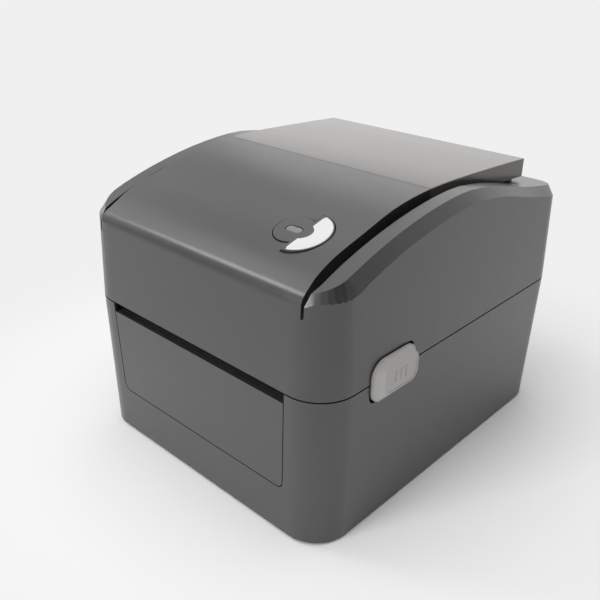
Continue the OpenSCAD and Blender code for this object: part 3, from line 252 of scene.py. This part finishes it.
MATERIALS = {
    "shell_plastic": moulded("shell_plastic", grey(46), 0.31, specular=1.0),
    "smoke_plastic": smoke("smoke_plastic"),
    "button_plastic": moulded("button_plastic", grey(184, 2), 0.4, depth=0.15),
    "white_plastic": moulded("white_plastic", grey(218), 0.5, depth=0.1, vary=0.02, specular=0.3),
    "lens_plastic": moulded("lens_plastic", grey(124), 0.25, depth=0.03, vary=0.03),
    "inner_plastic": moulded("inner_plastic", grey(44), 0.6),
    "sensor_plastic": moulded("sensor_plastic", (0.5, 0.05, 0.03), 0.4),
    "gear_plastic": moulded("gear_plastic", (0.72, 0.7, 0.62), 0.4, depth=0.08),
    "steel": metal("steel", (0.62, 0.63, 0.64), 0.38, (1, 1, 12)),
    "spring_steel": metal("spring_steel", (0.6, 0.6, 0.6), 0.25),
    "motor_metal": metal("motor_metal", (0.06, 0.06, 0.065), 0.5),
    "brass": metal("brass", (0.75, 0.55, 0.27), 0.3),
    "heatsink_aluminium": metal("heatsink_aluminium", (0.72, 0.73, 0.74), 0.35, (1, 12, 12)),
    "head_ceramic": moulded("head_ceramic", (0.72, 0.69, 0.6), 0.2, depth=0.02, vary=0.03),
    "foot_rubber": moulded("foot_rubber", grey(38), 0.8, grain=0.6 * MM, depth=0.4),
    "roller_rubber": moulded("roller_rubber", grey(36), 0.7, grain=0.2 * MM, depth=0.3),
    "circuit_board": board("circuit_board"),
    "socket_plastic": moulded("socket_plastic", grey(36), 0.45),
    "socket_metal": metal("socket_metal", (0.66, 0.66, 0.65), 0.3),
}

SLOT_OF = {entry["node"]: entry["material_slot"] for entry in frame["record"]["subparts"]}
BODIES = frame["record"]["behaviour"]["bodies"]
BODY_OF = {node: body for body, nodes in BODIES.items() for node in nodes}


def finish(obj, node):
    """Gives an object the material of a node's slot."""
    obj.data.materials.clear()
    obj.data.materials.append(MATERIALS[SLOT_OF[node]])


def dress_nodes():
    """Gives each CAD node the material of its slot."""
    for node, obj in frame["nodes"].items():
        finish(obj, node)


# ---------------------------------------------------------------- pieces

# Edge radii
SHELL_EDGE = 0.5 * MM
WINDOW_EDGE = 0.6 * MM
LIGHT_EDGE = 0.3 * MM
KEY_EDGE = 0.25 * MM
EDGE_SEGMENTS = 2

# Angles in degrees: edges over the first are rounded, those over the second shade sharp, and
# faces within the third of each other are joined
EDGE_ANGLE = 28
SHARP_ANGLE = 30
FLAT_ANGLE = 0.6

# The upper housing's own: its rails' chamfers turn by as little as 21 degrees, and some of its
# lid's faces by less than half a degree. Its long faces are cut across in steps.
RAIL_ANGLE = 19
CROWN_ANGLE = 0.2
SLICE_PITCH = 6 * MM

MERGE = 0.004 * MM
ON_PLANE = 0.001 * MM


def copied_mesh(node):
    """A copy of a CAD node's mesh."""
    mesh = frame["nodes"][node].data.copy()
    mesh.name = node + "_soft"
    return mesh


def placed(mesh, node):
    """A new object for the piece that replaces a node."""
    obj = bpy.data.objects.new(node + "_soft", mesh)
    bpy.context.scene.collection.objects.link(obj)
    return obj


def soften(node, width, limit=EDGE_ANGLE, flat=FLAT_ANGLE, pitch=None):
    """A copy of a CAD node whose edges over limit degrees are rounded by width metres; it replaces it.

    Faces within flat degrees of each other are joined first. With a pitch, the long faces are then
    cut across every pitch metres, so that they shade evenly.
    """
    mesh = copied_mesh(node)
    work = bmesh.new()
    work.from_mesh(mesh)
    bmesh.ops.remove_doubles(work, verts=work.verts, dist=MERGE)
    bmesh.ops.dissolve_degenerate(work, edges=work.edges, dist=MERGE)
    bmesh.ops.dissolve_limit(work, angle_limit=math.radians(flat), verts=work.verts, edges=work.edges)
    if pitch:
        slice_across(work, pitch)
    work.to_mesh(mesh)
    work.free()
    round_off(mesh, node, width, limit)


def round_off(mesh, node, width, limit=EDGE_ANGLE):
    """Rounds a mesh's edges over limit degrees by width metres; it takes the place of its CAD node."""
    obj = placed(mesh, node)
    bevel = obj.modifiers.new("bevel", "BEVEL")
    bevel.width = width
    bevel.segments = EDGE_SEGMENTS
    bevel.limit_method = "ANGLE"
    bevel.angle_limit = math.radians(limit)
    settle(obj)
    smooth(obj)
    evened = obj.modifiers.new("evened", "WEIGHTED_NORMAL")
    evened.keep_sharp = True
    settle(obj)
    stand_for(obj, node)


def stand_for(obj, node):
    """Gives a piece the finish and body of the CAD node that it replaces."""
    finish(obj, node)
    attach(obj, BODY_OF[node])
    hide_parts(node)


def slice_across(work, pitch):
    """Cuts a mesh with planes across X, pitch metres apart."""
    reach = max(abs(v.co.x) for v in work.verts)
    steps = int(reach / pitch)
    for i in range(-steps, steps + 1):
        everything = work.verts[:] + work.edges[:] + work.faces[:]
        bmesh.ops.bisect_plane(work, geom=everything, dist=ON_PLANE,
                               plane_co=(i * pitch, 0, 0), plane_no=(1, 0, 0))


def settle(obj):
    """Applies an object's modifiers to its mesh."""
    graph = bpy.context.evaluated_depsgraph_get()
    result = bpy.data.meshes.new_from_object(obj.evaluated_get(graph))
    obj.modifiers.clear()
    obj.data = result


def smooth(obj):
    """Smooth shading, with edges over SHARP_ANGLE degrees kept sharp."""
    mesh = obj.data
    work = bmesh.new()
    work.from_mesh(mesh)
    for face in work.faces:
        face.smooth = True
    for edge in work.edges:
        joined = len(edge.link_faces) == 2
        edge.smooth = joined and edge.calc_face_angle(0) < math.radians(SHARP_ANGLE)
    work.to_mesh(mesh)
    work.free()


# The key's rim and how far its face stands over the lid, as in the CAD. The inlay is a ring's part
# beyond INLAY_START across; its levels are its underside and its face, from the lid.
KEY_RADIUS = 15 * MM
KEY_PROUD = 0.3 * MM
INLAY_RADII = (5.6 * MM, 14.4 * MM)
INLAY_START = 1.9 * MM
INLAY_LEVELS = (-0.8 * MM, 0.5 * MM)
INLAY_CORNER = 2.8 * MM
CORNER_SEGMENTS = 6
INLAY_STEPS = 40


def joint_named(name):
    return next(joint for joint in frame["joints"] if joint["name"] == name)


def key_axes():
    """The key's middle on the lid, and its across, up-slope and outward directions.

    The rim of the key's face touches the key's box at the right, the front and the top.
    """
    outward = -Vector(joint_named("feed_key_press")["axis"]).normalized()
    across = Vector((1, 0, 0))
    upslope = outward.cross(across)
    low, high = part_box("feed_key")
    top = KEY_PROUD * outward
    middle = Vector((high[0] - KEY_RADIUS,
                     low[1] + KEY_RADIUS * upslope.y - top.y,
                     high[2] - KEY_RADIUS * upslope.z - top.z))
    return middle, across, upslope, outward


def inlay_outline():
    """Points of a ring's part beyond INLAY_START, counter-clockwise from the lower outer corner."""
    points = []
    for radius, turn in ((INLAY_RADII[1], 1), (INLAY_RADII[0], -1)):
        reach = math.acos(INLAY_START / radius)
        for i in range(INLAY_STEPS + 1):
            angle = turn * reach * (2 * i / INLAY_STEPS - 1)
            points.append((radius * math.cos(angle), radius * math.sin(angle)))
    return points


def add_inlay():
    """The key's white inlay, with round outer corners."""
    middle, across, upslope, outward = key_axes()
    work = bmesh.new()
    outline = [middle + x * across + y * upslope for x, y in inlay_outline()]
    lower, upper = ([work.verts.new(point + level * outward) for point in outline]
                    for level in INLAY_LEVELS)
    work.faces.new(reversed(lower))
    work.faces.new(upper)
    count = len(outline)
    for i in range(count):
        j = (i + 1) % count
        work.faces.new((lower[i], lower[j], upper[j], upper[i]))
    corners = [work.edges.get((lower[i], upper[i])) for i in (0, INLAY_STEPS)]
    bmesh.ops.bevel(work, geom=corners, offset=INLAY_CORNER, segments=CORNER_SEGMENTS,
                    profile=0.5, affect="EDGES")
    mesh = bpy.data.meshes.new("key_inlay_soft")
    work.to_mesh(mesh)
    work.free()
    round_off(mesh, "key_inlay", KEY_EDGE)


def add_spring(node):
    """A smooth-shaded copy of a CAD coil spring, which takes the spring's place.
    """
    obj = placed(copied_mesh(node), node)
    smooth(obj)
    stand_for(obj, node)
    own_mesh(obj)


def add_springs():
    """The release buttons' springs and the head's."""
    for side, outer in (("left", -1), ("right", 1)):
        add_spring(f"release_spring_{side}")
    add_spring("head_springs")


# ---------------------------------------------------------------- stage and light

# Strengths: what the camera sees behind the object, what gloss sees in front of it, and the soft fill
BACKGROUND = 0.87
ROOM = 0.09
FILL = 0.13
# The way to the bright backdrop, and the cosine, either side of square to it, within which the
# room's shade changes
BACKDROP_SIDE = (-0.55, 0.83, 0)
BACKDROP_SPREAD = 0.5
# The floor shows its own shading within the first distance and the background's shade past the second
FLOOR_FADE = (0.1, 0.3)
FLOOR_HALF = 6.0
LAMP_AIM = Vector((0, 0, 0.09))
# Name, place, width and height in metres, watts
LAMPS = (
    ("front", (-0.4, -2.4, 1.1), (1.2, 1.4), 48),
    ("left", (-2.3, -0.2, 0.75), (1.6, 1.0), 7),
    ("top", (0.1, 0, 2.2), (2.4, 2.4), 30),
    ("brow", (-1.35, -0.72, 1.6), (0.45, 0.6), 6),
    ("rear", (-0.5, 2.6, 1.3), (4.5, 2.4), 15),
)


def add_floor():
    """A pale floor that keeps the shadow and runs into the background's shade for the camera."""
    mesh = bpy.data.meshes.new("floor")
    corners = [(x * FLOOR_HALF, y * FLOOR_HALF, 0) for x, y in ((-1, -1), (1, -1), (1, 1), (-1, 1))]
    mesh.from_pydata(corners, [], [(0, 1, 2, 3)])
    floor = bpy.data.objects.new("floor", mesh)
    bpy.context.scene.collection.objects.link(floor)
    n = Nodes("floor")
    n.feed(n.blend(n.noise(0.5, 2), grey(246), grey(249)), "Base Color")
    n.set(Roughness=0.7, Specular_IOR_Level=0.2)
    reach = n.add("ShaderNodeVectorMath", operation="LENGTH")
    n.join(n.place, reach.inputs[0])
    fade = n.add("ShaderNodeMapRange", interpolation_type="SMOOTHSTEP")
    fade.inputs["From Min"].default_value = FLOOR_FADE[0]
    fade.inputs["From Max"].default_value = FLOOR_FADE[1]
    n.join(reach.outputs["Value"], fade.inputs["Value"])
    path = n.add("ShaderNodeLightPath")
    seen = n.add("ShaderNodeMath", operation="MAXIMUM")
    n.join(path.outputs["Is Camera Ray"], seen.inputs[0])
    n.join(path.outputs["Is Glossy Ray"], seen.inputs[1])
    shown = n.add("ShaderNodeMath", operation="MULTIPLY")
    n.join(fade.outputs["Result"], shown.inputs[0])
    n.join(seen.outputs[0], shown.inputs[1])
    glow = n.add("ShaderNodeEmission")
    glow.inputs["Strength"].default_value = BACKGROUND
    mix = n.add("ShaderNodeMixShader")
    n.join(shown.outputs[0], mix.inputs["Fac"])
    n.join(n.shader.outputs["BSDF"], mix.inputs[1])
    n.join(glow.outputs["Emission"], mix.inputs[2])
    n.join(mix.outputs["Shader"], n.tree.nodes["Material Output"].inputs["Surface"])
    mesh.materials.append(n.material)


def add_area(name, place, size, power):
    """A rectangular lamp of so many watts that looks at the object's middle."""
    data = bpy.data.lights.new(name, "AREA")
    data.shape = "RECTANGLE"
    data.size, data.size_y = size
    data.energy = power
    light = bpy.data.objects.new(name, data)
    light.location = place
    light.rotation_euler = (LAMP_AIM - Vector(place)).to_track_quat("-Z", "Y").to_euler()
    bpy.context.scene.collection.objects.link(light)


def add_world():
    """Studio surroundings: the background's shade for the camera and clear parts, a faint fill for
    the rest, and for gloss the same background behind the object with a darker room in front."""
    world = bpy.data.worlds.new("world")
    bpy.context.scene.world = world
    world.use_nodes = True
    nodes, links = world.node_tree.nodes, world.node_tree.links
    path = nodes.new("ShaderNodeLightPath")

    def level(value, low, high, start=0, end=1):
        """Goes smoothly from low to high as the value goes from start to end."""
        node = nodes.new("ShaderNodeMapRange")
        node.interpolation_type = "SMOOTHSTEP"
        for name, number in (("From Min", start), ("From Max", end)):
            node.inputs[name].default_value = number
        for name, source in (("Value", value), ("To Min", low), ("To Max", high)):
            if isinstance(source, float):
                node.inputs[name].default_value = source
            else:
                links.new(source, node.inputs[name])
        return node.outputs["Result"]

    facing = nodes.new("ShaderNodeVectorMath")
    facing.operation = "DOT_PRODUCT"
    facing.inputs[1].default_value = BACKDROP_SIDE
    links.new(nodes.new("ShaderNodeTexCoord").outputs["Generated"], facing.inputs[0])
    room = level(facing.outputs["Value"], ROOM, BACKGROUND, -BACKDROP_SPREAD, BACKDROP_SPREAD)
    seen = nodes.new("ShaderNodeMath")
    seen.operation = "MAXIMUM"
    links.new(path.outputs["Is Camera Ray"], seen.inputs[0])
    links.new(path.outputs["Is Transmission Ray"], seen.inputs[1])
    glossed = level(path.outputs["Is Glossy Ray"], FILL, room)
    links.new(level(seen.outputs[0], glossed, BACKGROUND), nodes["Background"].inputs["Strength"])
    nodes["Background"].inputs["Color"].default_value = (1, 1, 1, 1)


def add_lights():
    for lamp in LAMPS:
        add_area(*lamp)
    add_world()


def add_pieces():
    soften("upper_housing", SHELL_EDGE, limit=RAIL_ANGLE, flat=CROWN_ANGLE, pitch=SLICE_PITCH)
    for node in ("lower_housing", "front_panel"):
        soften(node, SHELL_EDGE)
    soften("smoke_window", WINDOW_EDGE)
    for node in ("release_button_left", "release_button_right", "feed_key"):
        soften(node, KEY_EDGE)
    add_inlay()
    soften("status_light", LIGHT_EDGE)
    add_springs()


add_camera()
dress_nodes()
add_pieces()
add_floor()
add_lights()

bpy.context.scene.view_settings.view_transform = "Standard"
